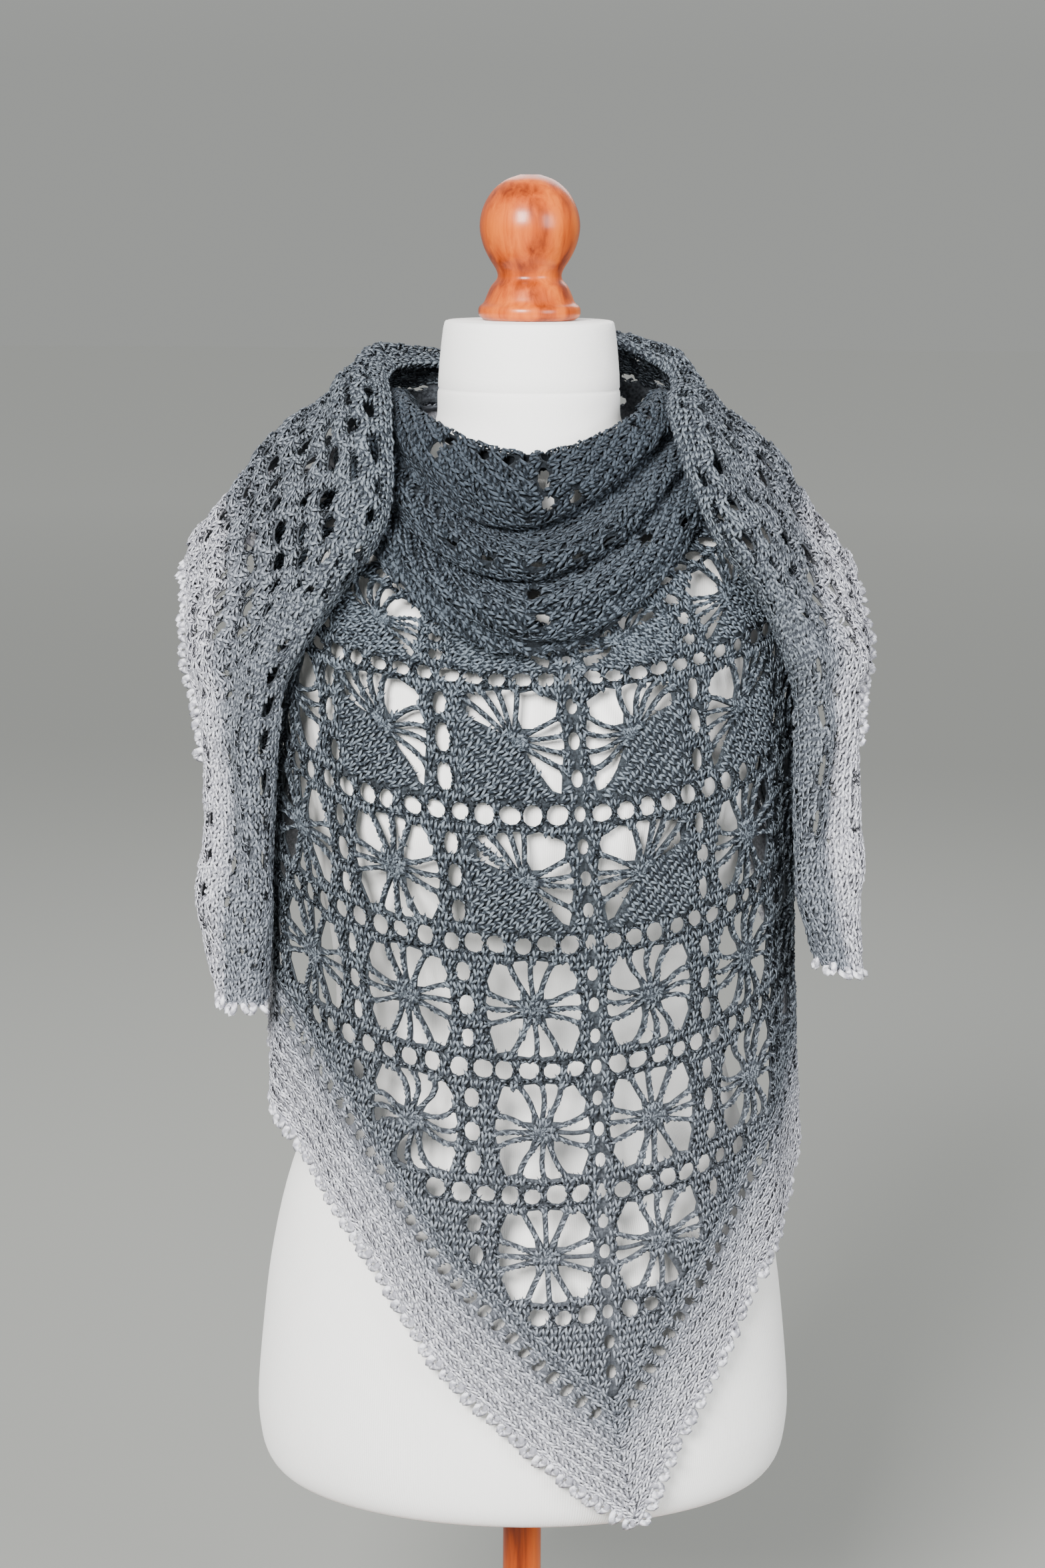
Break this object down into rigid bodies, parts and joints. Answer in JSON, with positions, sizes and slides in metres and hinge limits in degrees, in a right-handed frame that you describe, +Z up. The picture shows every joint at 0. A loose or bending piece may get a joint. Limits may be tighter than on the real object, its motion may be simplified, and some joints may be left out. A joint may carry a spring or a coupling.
{
  "type": "crochet shawl worn on a limbless dress form",
  "caption": "Triangular crochet lace shawl with picot edging, wound round the neck and over both shoulders of a white jersey dress form on a round wooden base.",
  "frame": {"origin": "centre of the underside of the round base, where the part stands", "axes": "+Z up along the pole, the form faces -Y, +X to the viewer's right when looking at its front"},
  "size_m": [0.4309, 0.3, 1.1104],
  "materials": {
    "white_jersey": "fine white cotton jersey stretched smooth over the form",
    "turned_wood": "turned hardwood, reddish brown, semi-gloss varnish",
    "dark_wool": "charcoal marled wool yarn, dense crochet, matt",
    "grey_wool": "mid grey marled wool yarn, open crochet lace, matt",
    "pale_wool": "pale silver marled wool yarn, dense crochet edging with picots, matt"
  },
  "bodies": {
    "root": {"form_base": "turned_wood", "form_pole": "turned_wood", "form_finial": "turned_wood", "form_torso": "white_jersey", "shawl_cowl": "dark_wool", "shawl_front_left": "grey_wool", "shawl_front_right": "grey_wool", "shawl_edging_left": "pale_wool", "shawl_edging_right": "pale_wool", "shawl_shoulder_left": "grey_wool", "shawl_shoulder_right": "grey_wool", "shawl_tail_left": "grey_wool", "shawl_tail_right": "grey_wool"}
  },
  "joints": []
}
